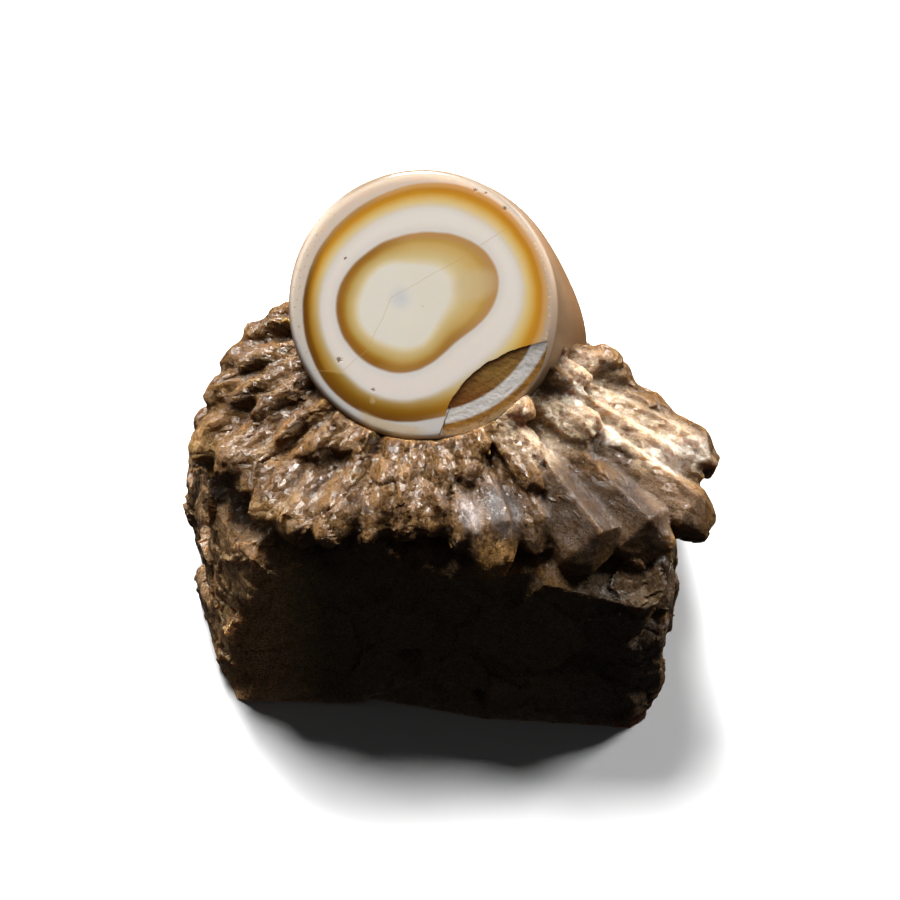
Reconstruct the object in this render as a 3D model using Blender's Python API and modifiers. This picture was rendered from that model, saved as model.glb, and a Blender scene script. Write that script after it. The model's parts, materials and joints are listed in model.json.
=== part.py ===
"""Onyx specimen: a banded onyx eye, cut flat and polished, standing in the broken quartz that grew round it.

Lengths are in millimetres until mm() turns them into Blender's metres. +Z is up and the front is -Y. The origin is
the middle of the flat underside. The eye looks up and to the front, and the quartz crystals fan out round it.
"""

import math
import random

import bmesh
import bpy
from mathutils import Vector

MILLIMETRE = 0.001
SEATING_GAP = 0.3
RAW_BLOCK = 120.0

# The eye: a short round column of onyx with one flat, polished end.
EYE_CENTRE = (-3.0, 2.7, 42.1)
EYE_RADIUS = 15.2
EYE_DEPTH = 17.0
EYE_ELEVATION = 47.0
EYE_TURN = -9.5
RIM_ROUNDING = 0.8
REAR_ROUNDING = 5.0
WALL_RINGS = (3.0, 6.0, 9.0, 11.5)
WALL_STEPS = 64

# To its lower right the wall swells as it runs down into the quartz.
FLARE_REACH = 3.8
FLARE_TOWARDS = -21.0
FLARE_DEPTH = 10.0
FLARE_NARROWNESS = 8

# The chip out of the polished face: a shallow scoop whose edge is an arc of this radius on the face.
CHIP_CENTRE = (21.2, -22.9)
CHIP_RADIUS = 21.5
CHIP_DEPTH = 2.2

# The crystals fan out round an axis that leans back nearly as steeply as the eye looks up. They lie on a shoulder
# that slopes down to the front and, a little, to both sides.
FAN_ELEVATION = 50.0
FAN_ROOT = 9.0
SHOULDER_HEIGHT = 31.9
SHOULDER_FRONT = -8.8
SHOULDER_SLOPE = 0.306
SHOULDER_DROOP = 0.0045

# The quartz is drawn up round the eye on its right, up to the level of the polished face.
COLLAR_HEIGHT = 4.2
COLLAR_TOWARDS = -28.0
COLLAR_REACH = 9.0

# The large crystals of the fan: angle round the eye (0 is right, 90 is up the face), reach from the eye's centre,
# half width and how far the tip stands over the slope of the shoulder.
FAN_CRYSTALS = (
    (182.0, 16.9, 1.6, -0.6),
    (184.5, 18.6, 2.0, -0.4),
    (190.5, 21.4, 2.4, 0.0),
    (197.5, 24.8, 2.8, -0.3),
    (204.5, 27.4, 3.0, 0.0),
    (213.0, 32.0, 3.6, -0.6),
    (220.5, 30.6, 3.2, 0.5),
    (226.5, 30.4, 3.4, -0.2),
    (233.0, 30.8, 3.4, 0.4),
    (240.5, 30.6, 3.4, -0.2),
    (248.5, 29.2, 3.2, 0.3),
    (257.5, 28.0, 3.2, -0.4),
    (265.5, 26.9, 3.0, 0.3),
    (273.0, 26.5, 2.8, -0.2),
    (279.5, 28.2, 2.8, 0.2),
    (286.5, 31.2, 4.2, 0.7),
    (296.5, 31.2, 3.8, -0.4),
    (304.5, 36.2, 5.2, 0.6),
    (313.0, 39.4, 5.0, 0.0),
    (322.0, 41.6, 4.0, 0.0),
    (327.0, 37.6, 3.4, 0.3),
    (331.5, 38.8, 3.6, 1.0),
    (334.5, 33.4, 2.8, 0.2),
    (337.0, 27.8, 2.6, 0.0),
    (341.5, 22.6, 2.2, 0.0),
)

# The small crystals that lie between and on the large ones, next to the eye.
SMALL_CRYSTALS = 40
SMALL_ANGLES = (184.0, 344.0)
SMALL_REACH = (17.5, 25.0)
SMALL_HALF_WIDTH = (0.9, 1.7)
SMALL_BACK_FROM_EDGE = 2.5

# The form of one crystal, in shares of its length and of its half width.
CRYSTAL_SHOULDER = (0.78, 0.9)
CRYSTAL_ROOT_WIDTH = 0.5
CRYSTAL_FLATNESS = 0.8
CRYSTAL_UNEVENNESS = (0.9, 1.08)
CRYSTAL_END_WIDTH = 0.5
CRYSTAL_END_SLANT = 0.3
CRYSTAL_ROLL = 16.0

# The broken faces of the block under the fan: a point on each one, and the way that it faces.
BROKEN_FACES = {
    "front": ((0.2, -23.6, 0.0), (-0.118, -0.989, 0.092)),
    "front_left": ((-25.8, -20.8, 0.0), (-0.789, -0.591, 0.168)),
    "left": ((-28.1, -11.6, 0.0), (-0.975, -0.22, 0.04)),
    "front_right": ((23.8, -23.6, 0.0), (0.5, -0.866, 0.0)),
    "right": ((26.5, -11.6, 0.0), (0.992, -0.1, 0.08)),
    "shoulder_left": ((-2.9, -8.8, 30.0), (-0.14, -0.29, 0.947)),
    "shoulder_right": ((-2.9, -8.8, 30.0), (0.12, -0.29, 0.95)),
    "rear_slope_left": ((-18.8, 2.7, 42.2), (-0.80, 0.46, 0.386)),
    "rear_slope": ((-2.9, 20.9, 39.0), (0.0, 0.143, 0.99)),
    "rear_slope_right": ((10.6, 2.7, 42.2), (0.62, 0.605, 0.508)),
    "rear": ((0.2, 24.2, 0.0), (0.05, 0.998, 0.02)),
    "rear_left": ((-19.8, 20.9, 0.0), (-0.74, 0.66, 0.10)),
    "rear_right": ((18.2, 21.9, 0.0), (0.70, 0.70, 0.12)),
}

# Inside these faces the block is filled by crystals that grew outwards from one place behind the eye. Each one is
# broken off near the faces, a little higher or lower and at a slightly different slant than the next one.
BURST_CENTRE = (-1.8, 4.4, 25.0)
BURST_CRYSTALS = 150
BURST_SEED = 1000
BURST_WIDTH = 0.25
BURST_VARIATION = (0.85, 1.15)
BURST_ROOT = 4.0
BURST_OVERSHOOT = 5.0
DEEPEST_BURST = -12.0
BREAK_HEIGHT = (-0.9, 0.5)
BREAK_SLANT = 0.13
CORE_INSET = 1.8

# The deep crack that parts the fan from the block on its left, widest at its left end.
CRACK_ENDS = ((-30.8, -6.6, 24.6), (-17.3, -23.6, 24.0))
CRACK_SHARES = (1.0, 0.9, 0.3)
CRACK_HEIGHT = 5.0
CRACK_DEPTH = 7.5
CRACK_OUTSIDE = 4.0

ONYX_COLOUR = (0.72, 0.60, 0.46, 1.0)
ONYX_ROUGHNESS = 0.12
QUARTZ_COLOUR = (0.16, 0.11, 0.075, 1.0)
QUARTZ_ROUGHNESS = 0.45
SMOOTH_BELOW = 35.0


def mm(*values):
    """A point or a step given in millimetres, as Blender's metres."""
    return Vector(values) * MILLIMETRE


def new_collection(name):
    collection = bpy.data.collections.new(name)
    bpy.context.scene.collection.children.link(collection)
    return collection


def object_from(bm, name, collection):
    """Turns a bmesh into a named object, its faces pointing outwards."""
    bmesh.ops.recalc_face_normals(bm, faces=bm.faces)
    mesh = bpy.data.meshes.new(name)
    bm.to_mesh(mesh)
    bm.free()
    obj = bpy.data.objects.new(name, mesh)
    collection.objects.link(obj)
    return obj


def as_cutter(obj):
    obj.hide_render = True
    obj.display_type = "WIRE"
    return obj


def stone(name, colour, roughness):
    material = bpy.data.materials.new(name)
    material.use_nodes = True
    shader = material.node_tree.nodes["Principled BSDF"]
    shader.inputs["Base Color"].default_value = colour
    shader.inputs["Roughness"].default_value = roughness
    shader.inputs["Metallic"].default_value = 0.0
    material.diffuse_color = colour
    return material


def evaluated_mesh(obj):
    """The object's mesh with its modifiers applied. The modifiers are removed."""
    graph = bpy.context.evaluated_depsgraph_get()
    result = bpy.data.meshes.new_from_object(obj.evaluated_get(graph))
    obj.modifiers.clear()
    return result


def join_solids(obj, operation, others):
    """Applies one exact Boolean of a collection's objects to an object."""
    modifier = obj.modifiers.new(operation.title(), "BOOLEAN")
    modifier.operation = operation
    modifier.solver = "EXACT"
    modifier.operand_type = "COLLECTION"
    modifier.collection = others
    obj.data = evaluated_mesh(obj)


def fill_pockets(obj):
    """Fills the small pockets that crystals close in between them: only the outermost skin is kept."""
    bm = bmesh.new()
    bm.from_mesh(obj.data)
    unseen = set(bm.verts)
    skins = []
    while unseen:
        skin = set()
        edge_of_search = [unseen.pop()]
        while edge_of_search:
            vertex = edge_of_search.pop()
            skin.add(vertex)
            neighbours = {edge.other_vert(vertex) for edge in vertex.link_edges} & unseen
            unseen -= neighbours
            edge_of_search.extend(neighbours)
        skins.append(skin)
    outermost = max(skins, key=len)
    inner = [vertex for vertex in bm.verts if vertex not in outermost]
    bmesh.ops.delete(bm, geom=inner, context="VERTS")
    bm.to_mesh(obj.data)
    bm.free()


def cut_away(bm, point, facing):
    """Breaks off all that lies beyond a plane and closes the break."""
    parts = bm.verts[:] + bm.edges[:] + bm.faces[:]
    cut = bmesh.ops.bisect_plane(bm, geom=parts, plane_co=mm(*point), plane_no=facing, clear_outer=True)
    rim = [part for part in cut["geom_cut"] if isinstance(part, bmesh.types.BMEdge)]
    if rim:
        bmesh.ops.edgeloop_fill(bm, edges=rim)


def quarter_round(centre, radius, first_angle):
    """Five points round a quarter circle, clockwise from an angle in degrees."""
    for step in range(5):
        turn = math.radians(first_angle - 22.5 * step)
        yield centre[0] + radius * math.cos(turn), centre[1] + radius * math.sin(turn)


def eye_outline():
    """Half of the column's outline, from the middle of its face round to the middle of its rear."""
    yield 0.0, 0.0
    yield EYE_RADIUS / 2, 0.0
    yield from quarter_round((EYE_RADIUS - RIM_ROUNDING, -RIM_ROUNDING), RIM_ROUNDING, 90.0)
    for depth in WALL_RINGS:
        yield EYE_RADIUS, -depth
    yield from quarter_round((EYE_RADIUS - REAR_ROUNDING, REAR_ROUNDING - EYE_DEPTH), REAR_ROUNDING, 0.0)
    yield 0.0, -EYE_DEPTH


def socket_outline():
    """Half of the outline of the room for the column, which is open far out in front of its face."""
    radius, rear = EYE_RADIUS + SEATING_GAP, REAR_ROUNDING + SEATING_GAP
    yield 0.0, EYE_RADIUS
    yield radius, EYE_RADIUS
    yield radius, 0.0
    for depth in WALL_RINGS:
        yield radius, -depth
    yield from quarter_round((radius - rear, REAR_ROUNDING - EYE_DEPTH), rear, 0.0)
    yield 0.0, -EYE_DEPTH - SEATING_GAP


def flared(point):
    """A point of the wall, moved out where the wall swells."""
    facing = math.atan2(point.y, point.x) - math.radians(FLARE_TOWARDS)
    share = max(0.0, math.cos(facing)) ** FLARE_NARROWNESS
    depth = min(1.0, max(0.0, -point.z / (FLARE_DEPTH * MILLIMETRE)))
    swelling = FLARE_REACH / EYE_RADIUS * share * depth**1.5
    return Vector((point.x * (1.0 + swelling), point.y * (1.0 + swelling), point.z))


def place_at_eye(obj):
    obj.location = mm(*EYE_CENTRE)
    obj.rotation_euler = (math.radians(90.0 - EYE_ELEVATION), 0.0, math.radians(EYE_TURN))


def turned_column(name, outline, collection):
    """A solid turned from half an outline, with the swollen wall, standing where the eye stands."""
    points = [mm(across, 0.0, height) for across, height in outline]
    mesh = bpy.data.meshes.new(name)
    mesh.from_pydata(points, [(index, index + 1) for index in range(len(points) - 1)], [])
    obj = bpy.data.objects.new(name, mesh)
    collection.objects.link(obj)
    screw = obj.modifiers.new("Turn", "SCREW")
    screw.steps = screw.render_steps = WALL_STEPS
    screw.use_merge_vertices = True
    screw.merge_threshold = 0.00001
    obj.data = evaluated_mesh(obj)
    for vertex in obj.data.vertices:
        vertex.co = flared(vertex.co)
    place_at_eye(obj)
    return obj


def chip_scoop(collection):
    """The flattened ball that leaves the shell-shaped chip at the lower right of the face."""
    bm = bmesh.new()
    bmesh.ops.create_uvsphere(bm, u_segments=56, v_segments=28, radius=MILLIMETRE)
    bmesh.ops.scale(bm, vec=(CHIP_RADIUS, CHIP_RADIUS, CHIP_DEPTH), verts=bm.verts)
    bmesh.ops.translate(bm, vec=mm(*CHIP_CENTRE, 0.0), verts=bm.verts)
    scoop = as_cutter(object_from(bm, "chip_scoop", collection))
    place_at_eye(scoop)


def fan_frame():
    """The fan's own directions: to the right, up the eye's face, and out along its axis."""
    tilt = math.radians(FAN_ELEVATION)
    right = Vector((1.0, 0.0, 0.0))
    up_face = Vector((0.0, math.sin(tilt), math.cos(tilt)))
    outward = Vector((0.0, -math.cos(tilt), math.sin(tilt)))
    return right, up_face, outward


def on_shoulder(angle, reach, lift):
    """The point over the sloping shoulder that lies at this angle and reach, seen along the fan's axis."""
    right, up_face, outward = fan_frame()
    turn = math.radians(angle)
    flat = Vector(EYE_CENTRE) + (right * math.cos(turn) + up_face * math.sin(turn)) * reach
    aside = flat.x - EYE_CENTRE[0]
    surface = SHOULDER_HEIGHT + SHOULDER_SLOPE * (flat.y - SHOULDER_FRONT) - SHOULDER_DROOP * aside * aside
    facing_collar = max(0.0, math.cos(math.radians(angle - COLLAR_TOWARDS)))
    away = max(0.0, reach - EYE_RADIUS) / COLLAR_REACH
    surface += COLLAR_HEIGHT * facing_collar**3 * math.exp(-away * away)
    along = (surface + lift - flat.z) / (outward.z - SHOULDER_SLOPE * outward.y)
    return flat + outward * along


def crystal(root, tip, half_width, chance):
    """One crystal: six flat sides that widen from the root, and an uneven, slanting end."""
    along = (tip - root).normalized()
    _, _, outward = fan_frame()
    side = along.cross(outward).normalized()
    rise = side.cross(along) * CRYSTAL_FLATNESS
    roll = math.radians(chance.uniform(-CRYSTAL_ROLL, CRYSTAL_ROLL))
    shoulder = root.lerp(tip, chance.uniform(*CRYSTAL_SHOULDER))
    bm = bmesh.new()
    for centre, width in ((root, half_width * CRYSTAL_ROOT_WIDTH), (shoulder, half_width)):
        for corner in range(6):
            turn = math.radians(60.0 * corner) + roll
            spread = side * math.cos(turn) + rise * math.sin(turn)
            bm.verts.new(mm(*(centre + spread * width * chance.uniform(*CRYSTAL_UNEVENNESS))))
    end_turn = chance.uniform(0.0, math.pi)
    for corner in range(3):
        turn = math.radians(120.0 * corner) + end_turn
        spread = (side * math.cos(turn) + rise * math.sin(turn)) * CRYSTAL_END_WIDTH
        slant = along * chance.uniform(-CRYSTAL_END_SLANT, 0.0)
        bm.verts.new(mm(*(tip + (spread + slant) * half_width)))
    bmesh.ops.convex_hull(bm, input=bm.verts)
    return bm


def large_fan_crystals(collection, chance):
    """The large crystals, whose tips make the outline of the fan."""
    for number, (angle, reach, half_width, lift) in enumerate(FAN_CRYSTALS):
        root = on_shoulder(angle, FAN_ROOT, -half_width * 0.55 - 2.0)
        tip = on_shoulder(angle, reach, lift - half_width * 0.5)
        object_from(crystal(root, tip, half_width, chance), f"fan_crystal_{number:02d}", collection)


def small_fan_crystals(collection, chance):
    """The small crystals round the eye, none of them longer than the large one beside it."""
    first, last = SMALL_ANGLES
    nearest, farthest = SMALL_REACH
    for number in range(SMALL_CRYSTALS):
        angle = first + (last - first) * (number + chance.uniform(0.1, 0.9)) / SMALL_CRYSTALS
        edge = min(FAN_CRYSTALS, key=lambda large: abs(large[0] - angle))[1]
        longest = max(nearest + 0.5, min(farthest, edge - SMALL_BACK_FROM_EDGE))
        root = on_shoulder(angle, FAN_ROOT, -1.6)
        tip = on_shoulder(angle + chance.uniform(-3.0, 3.0), chance.uniform(nearest, longest), chance.uniform(-0.3, 0.5))
        bm = crystal(root, tip, chance.uniform(*SMALL_HALF_WIDTH), chance)
        object_from(bm, f"small_crystal_{number:02d}", collection)


def way_out(start, direction):
    """How far it is from a point inside the block to its broken faces, and the name of the face that is met."""
    distances = []
    for name, (point, facing) in BROKEN_FACES.items():
        speed = direction.dot(Vector(facing))
        if speed > 0.0:
            distances.append(((Vector(point) - start).dot(Vector(facing)) / speed, name))
    return min(distances)


def burst_directions():
    """Directions spread evenly over a ball, turn by turn from its top to its bottom."""
    golden_turn = math.pi * (3.0 - math.sqrt(5.0))
    for number in range(BURST_CRYSTALS):
        height = 1.0 - 2.0 * (number + 0.5) / BURST_CRYSTALS
        ring = math.sqrt(1.0 - height * height)
        yield Vector((ring * math.cos(golden_turn * number), ring * math.sin(golden_turn * number), height))


def burst_crystals(collection):
    """The crystals under the fan, broken off at the block's faces. Each one has a chance of its own."""
    start = Vector(BURST_CENTRE)
    for number, direction in enumerate(burst_directions()):
        chance = random.Random(BURST_SEED + number)
        distance, face = way_out(start, direction)
        end = start + direction * distance
        if face.startswith("shoulder") or end.z < DEEPEST_BURST:
            continue
        half_width = BURST_WIDTH * distance * chance.uniform(*BURST_VARIATION)
        bm = crystal(start + direction * BURST_ROOT, end + direction * BURST_OVERSHOOT, half_width, chance)
        for point, facing in BROKEN_FACES.values():
            straight = Vector(facing).normalized()
            on_face = end - straight * (end - Vector(point)).dot(straight)
            slant = Vector(chance.uniform(-BREAK_SLANT, BREAK_SLANT) for _ in range(3))
            cut_away(bm, on_face + straight * chance.uniform(*BREAK_HEIGHT), (straight + slant).normalized())
        object_from(bm, f"burst_crystal_{number:03d}", collection)


def slab(name, floor, collection):
    """A cube much larger than the stone, standing on a given height."""
    bm = bmesh.new()
    bmesh.ops.create_cube(bm, size=RAW_BLOCK * MILLIMETRE)
    bmesh.ops.translate(bm, vec=mm(0.0, 0.0, floor + RAW_BLOCK / 2), verts=bm.verts)
    return object_from(bm, name, collection)


def quartz_core(collection):
    """The plain middle of the quartz, which joins the crystals: the block's shape, a little smaller."""
    core = slab("quartz_matrix", 0.0, collection)
    bm = bmesh.new()
    bm.from_mesh(core.data)
    for point, facing in BROKEN_FACES.values():
        straight = Vector(facing).normalized()
        cut_away(bm, Vector(point) - straight * CORE_INSET, straight)
    bmesh.ops.recalc_face_normals(bm, faces=bm.faces)
    bm.to_mesh(core.data)
    bm.free()
    return core


def crack_wedge(collection):
    """A thin wedge along the crack, wide at the surface and closing inwards."""
    left, right = (Vector(end) for end in CRACK_ENDS)
    rise = Vector((0.0, 0.0, CRACK_HEIGHT / 2))
    inward = Vector((0.0, 0.0, 1.0)).cross(right - left).normalized()
    bm = bmesh.new()
    for end, share in zip((left, left.lerp(right, 0.5), right), CRACK_SHARES):
        bm.verts.new(mm(*(end - inward * CRACK_OUTSIDE + rise * share)))
        bm.verts.new(mm(*(end - inward * CRACK_OUTSIDE - rise * share)))
        bm.verts.new(mm(*(end + inward * CRACK_DEPTH * share)))
    bmesh.ops.convex_hull(bm, input=bm.verts)
    as_cutter(object_from(bm, "crack_wedge", collection))


def clear_scene():
    for obj in list(bpy.data.objects):
        bpy.data.objects.remove(obj, do_unlink=True)


def build():
    clear_scene()
    parts = new_collection("onyx_specimen")
    crystals = new_collection("crystals_to_join")
    quartz_cutters = new_collection("quartz_cutters")
    eye_cutters = new_collection("eye_cutters")

    eye = turned_column("onyx_eye", eye_outline(), parts)
    chip_scoop(eye_cutters)
    join_solids(eye, "DIFFERENCE", eye_cutters)
    eye.data.set_sharp_from_angle(angle=math.radians(SMOOTH_BELOW))
    eye.data.materials.append(stone("onyx", ONYX_COLOUR, ONYX_ROUGHNESS))

    quartz = quartz_core(parts)
    large_fan_crystals(crystals, random.Random(11))
    small_fan_crystals(crystals, random.Random(12))
    burst_crystals(crystals)
    join_solids(quartz, "UNION", crystals)
    as_cutter(turned_column("eye_socket", socket_outline(), quartz_cutters))
    crack_wedge(quartz_cutters)
    as_cutter(slab("underside_cut", -RAW_BLOCK, quartz_cutters))
    join_solids(quartz, "DIFFERENCE", quartz_cutters)
    fill_pockets(quartz)
    quartz.data.materials.append(stone("quartz", QUARTZ_COLOUR, QUARTZ_ROUGHNESS))
    for obj in list(crystals.objects):
        bpy.data.objects.remove(obj, do_unlink=True)


build()
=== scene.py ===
# %% [markdown]
# # An onyx eye in smoky quartz
#
# The specimen is a short column of banded onyx, cut flat and polished at one end so that its rings look like
# an eye. It still sits in the quartz that it grew in: crystals fan out round it like the spokes of a wheel,
# and under them lies a darker, rougher block with a flat underside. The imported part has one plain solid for
# the onyx and one for the quartz. This lesson makes everything that needs finer detail than those solids
# have.

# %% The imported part
import json
import math
import random

import bmesh
import bpy
import numpy as np
from mathutils import Euler, Matrix, Vector, noise

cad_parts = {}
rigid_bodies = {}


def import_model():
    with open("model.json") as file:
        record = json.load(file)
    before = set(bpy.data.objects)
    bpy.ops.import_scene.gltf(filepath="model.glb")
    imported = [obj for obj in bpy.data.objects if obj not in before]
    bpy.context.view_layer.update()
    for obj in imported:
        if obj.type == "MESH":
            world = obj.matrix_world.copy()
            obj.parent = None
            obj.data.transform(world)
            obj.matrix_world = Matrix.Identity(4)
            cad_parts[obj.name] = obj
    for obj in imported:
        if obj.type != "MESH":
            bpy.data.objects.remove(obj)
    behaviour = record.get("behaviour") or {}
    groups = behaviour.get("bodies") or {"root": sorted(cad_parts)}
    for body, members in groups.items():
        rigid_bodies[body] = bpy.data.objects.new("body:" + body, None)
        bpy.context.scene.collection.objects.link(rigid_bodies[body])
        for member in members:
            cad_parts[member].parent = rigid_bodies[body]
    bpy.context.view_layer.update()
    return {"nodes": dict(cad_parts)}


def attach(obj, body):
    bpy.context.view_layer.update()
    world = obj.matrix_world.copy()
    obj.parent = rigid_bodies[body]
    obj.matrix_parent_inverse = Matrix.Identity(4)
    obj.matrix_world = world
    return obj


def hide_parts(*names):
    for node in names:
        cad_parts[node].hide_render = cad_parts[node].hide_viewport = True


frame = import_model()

print("pieces in the frame:", sorted(frame["nodes"]))

# %% [markdown]
# Blender works in metres and the stone is only 63 mm wide, so every size below is given in millimetres, and
# one small function turns a point into metres. The eye has a frame of its own: X runs across its face, Y up
# the face and Z out of it. The numbers are close to the solid's, so the fine mesh lands on it.

# %% Sizes shared by several pieces
MILLIMETRE = 0.001
EYE_CENTRE = Vector((-3.0, 2.7, 42.1))
EYE_RADIUS = 15.2
EYE_DEPTH = 17.0
EYE_ELEVATION = 47.0
EYE_TURN = -9.5
EYE_ROTATION = Euler((math.radians(90.0 - EYE_ELEVATION), 0.0, math.radians(EYE_TURN)))
EYE_MATRIX = Matrix.Translation(EYE_CENTRE) @ EYE_ROTATION.to_matrix().to_4x4()

# The wall of the eye swells to the lower right and narrows slowly to the upper right, the further back the
# more.
WALL_SWELLING = 3.7
WALL_SWELLING_TOWARDS = -21.0
WALL_SWELLING_DEPTH = 10.0
WALL_TAPER = 0.016
WALL_TAPER_TOWARDS = 38.0

# All the quartz crystals point away from this place behind the eye.
BURST_CENTRE = Vector((-1.8, 4.4, 25.0))


def mm(*values):
    """A point or a size given in millimetres, in metres."""
    return Vector(values) * MILLIMETRE


def new_object(name, data):
    """An object in the scene, with this mesh, lamp or camera."""
    made = bpy.data.objects.new(name, data)
    bpy.context.scene.collection.objects.link(made)
    return made


def smoothstep(low, high, value):
    """0 below low, 1 above high and a smooth rise in between, for one number or a whole array."""
    share = np.clip((value - low) / (high - low), 0.0, 1.0)
    return share * share * (3.0 - 2.0 * share)


def wall_swelling(across, up, height):
    """How far the eye's wall lies outside a plain cylinder, for one point of its frame or for arrays."""
    angle = np.arctan2(up, across)
    swollen_side = np.maximum(0.0, np.cos(angle - math.radians(WALL_SWELLING_TOWARDS))) ** 6
    narrow_side = np.maximum(0.0, np.cos(angle - math.radians(WALL_TAPER_TOWARDS)))
    deep = np.clip(-height / WALL_SWELLING_DEPTH, 0.0, 1.0)
    return WALL_SWELLING * swollen_side * deep - WALL_TAPER * narrow_side * np.maximum(0.0, -height)


print("the eye looks out along", [round(part, 2) for part in EYE_MATRIX.col[2][:3]])

# %% [markdown]
# The photograph was taken from the front, 50 degrees above the table, with a long lens, which keeps the far
# side of the stone nearly as large as the near side. The camera is placed by the point that it looks at, its
# elevation and its distance, which is easier to reason about than its own coordinates.

# %% Camera
VIEW_TARGET = Vector((0.2, -9.74, 31.76))
VIEW_ELEVATION = 50.0
VIEW_DISTANCE = 378.0
LENS = 135.0


def set_up_camera():
    elevation = math.radians(VIEW_ELEVATION)
    towards_camera = Vector((0.0, -math.cos(elevation), math.sin(elevation)))
    data = bpy.data.cameras.new("camera")
    data.lens = LENS
    camera = new_object("camera", data)
    camera.location = mm(*(VIEW_TARGET + towards_camera * VIEW_DISTANCE))
    camera.rotation_euler = (-towards_camera).to_track_quat("-Z", "Y").to_euler()
    bpy.context.scene.camera = camera
    return camera


camera = set_up_camera()
print("camera at", [round(part, 3) for part in camera.location])

# %% [markdown]
# The main light is tall and soft and stands behind the stone, a little to the left. It brightens the fan,
# leaves the face of the block in shade and throws the shadow towards the viewer. Two wide suns, one above
# the other, make it, because a sun lights the whole table evenly. A third sun lights the right side, and a
# strip draws the thin bright line along the rim of the eye.

# %% Studio
SUNS = {
    # azimuth from straight behind towards the right, elevation and width in degrees, and strength
    "upper_window": (-20.0, 57.0, 22.0, 6.2),
    "lower_window": (-14.0, 45.0, 16.0, 5.3),
    "right_window": (56.0, 34.0, 18.0, 3.1),
}
STRIP_DIRECTION = Vector((-0.75, 0.6, 0.27))
STRIP_POWER = 0.3
LIGHT_DISTANCE = 500.0
STRIP_SIZE = (40.0, 300.0)
ROOM_LIGHT = 0.035
TABLE_REACH = 3000.0
TABLE_GREY = (0.66, 0.66, 0.66, 1.0)
TABLE_ROUGHNESS = 0.9


def pigment(red, green, blue):
    """A colour on the usual 0 to 255 scale, as the linear values that shaders work with."""
    shares = (part / 255.0 for part in (red, green, blue))
    return (*((part + 0.055) ** 2.4 / 1.055**2.4 if part > 0.04 else part / 12.92 for part in shares), 1.0)


def add_light(name, kind, direction):
    """A light that stands in this direction from the stone and faces it."""
    light = new_object(name, bpy.data.lights.new(name, kind))
    light.location = mm(*(VIEW_TARGET + direction.normalized() * LIGHT_DISTANCE))
    light.rotation_euler = direction.to_track_quat("Z", "Y").to_euler()
    return light.data


def set_up_studio():
    for name, (azimuth, elevation, width, strength) in SUNS.items():
        across, raised = math.radians(azimuth), math.radians(elevation)
        flat = math.cos(raised)
        direction = Vector((math.sin(across) * flat, math.cos(across) * flat, math.sin(raised)))
        sun = add_light(name, "SUN", direction)
        sun.energy = strength
        sun.angle = math.radians(width)
    strip = add_light("rim_strip", "AREA", STRIP_DIRECTION)
    strip.shape = "RECTANGLE"
    strip.size = STRIP_SIZE[0] * MILLIMETRE
    strip.size_y = STRIP_SIZE[1] * MILLIMETRE
    strip.energy = STRIP_POWER
    world = bpy.data.worlds.new("room")
    world.use_nodes = True
    background = world.node_tree.nodes["Background"]
    background.inputs["Strength"].default_value = ROOM_LIGHT
    background.inputs["Color"].default_value = (1.0, 1.0, 1.0, 1.0)
    bpy.context.scene.world = world
    bpy.context.scene.view_settings.view_transform = "Standard"


def lay_table():
    """A plain, pale table top that reaches far past the picture."""
    bpy.ops.mesh.primitive_plane_add(size=2.0 * TABLE_REACH * MILLIMETRE)
    table = bpy.context.object
    table.name = "table_top"
    material = bpy.data.materials.new("pale_table")
    material.use_nodes = True
    shader = material.node_tree.nodes["Principled BSDF"]
    shader.inputs["Base Color"].default_value = TABLE_GREY
    shader.inputs["Roughness"].default_value = TABLE_ROUGHNESS
    shader.inputs["Specular IOR Level"].default_value = 0.0
    table.data.materials.append(material)
    table.visible_diffuse = False
    table.visible_glossy = False


set_up_studio()
lay_table()

# %% [markdown]
# ## The quartz
#
# Crystals of quartz grew outwards from one place, so every groove, ridge and streak points away from it. One
# trick gives all of them: a space in which distances along that direction are squeezed. A pattern that is
# looked up in the squeezed space comes out drawn along the crystals, with no seam anywhere.

# %% A space drawn out along the crystals
LONG_CRYSTALS = 6.0
SHORT_CRYSTALS = 3.0
CRYSTAL_REFERENCE = 25.0
BORDER_WIDTH = 0.22
CHANCE_SPREAD = 37.0

# The vector noise takes its offsets from this seed. Without one they would come from the clock.
NOISE_SEED = 1
noise.seed_set(NOISE_SEED)


def drawn_out(point, stretch):
    """Where a point of the stone lies in the space that is squeezed along the crystals."""
    away = point - BURST_CENTRE
    return away * (CRYSTAL_REFERENCE / max(away.length, 1.0)) ** (1.0 - 1.0 / stretch)


def warped(place, size, reach):
    """A place moved about by soft noise, which makes straight borders crooked."""
    return place + reach * noise.noise_vector(place / size)


def crystal_height(place, size, slant, step, groove):
    """The height of a surface of slanting crystals of about this size, grooved along their borders."""
    scaled = place / size
    distances, middles = noise.voronoi(scaled)
    chance = noise.cell_vector(middles[0] * CHANCE_SPREAD) - Vector((0.5, 0.5, 0.5))
    border = max(0.0, 1.0 - (distances[1] - distances[0]) / BORDER_WIDTH)
    return size * (slant * (scaled - middles[0]).dot(chance) + step * chance.y) - groove * border * border


for reach in (15.0, 30.0):
    moved = drawn_out(BURST_CENTRE + Vector((reach, 0.0, 0.0)), LONG_CRYSTALS) - BURST_CENTRE
    print("a point", reach, "mm out moves to", round(moved.x, 1))

# %% [markdown]
# The solid has the right crystals but only large flat faces. A voxel remesh turns a merged copy of it into
# an even skin of small squares. The left half of it is smoothed, and then each point is moved in or out: the
# left of the fan is grooved, the right has large, smooth crystals, and the block is broken into ledges. The
# underside stays flat, so that the stone rests as the solid does. Decimate then thins what is flat.

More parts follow.
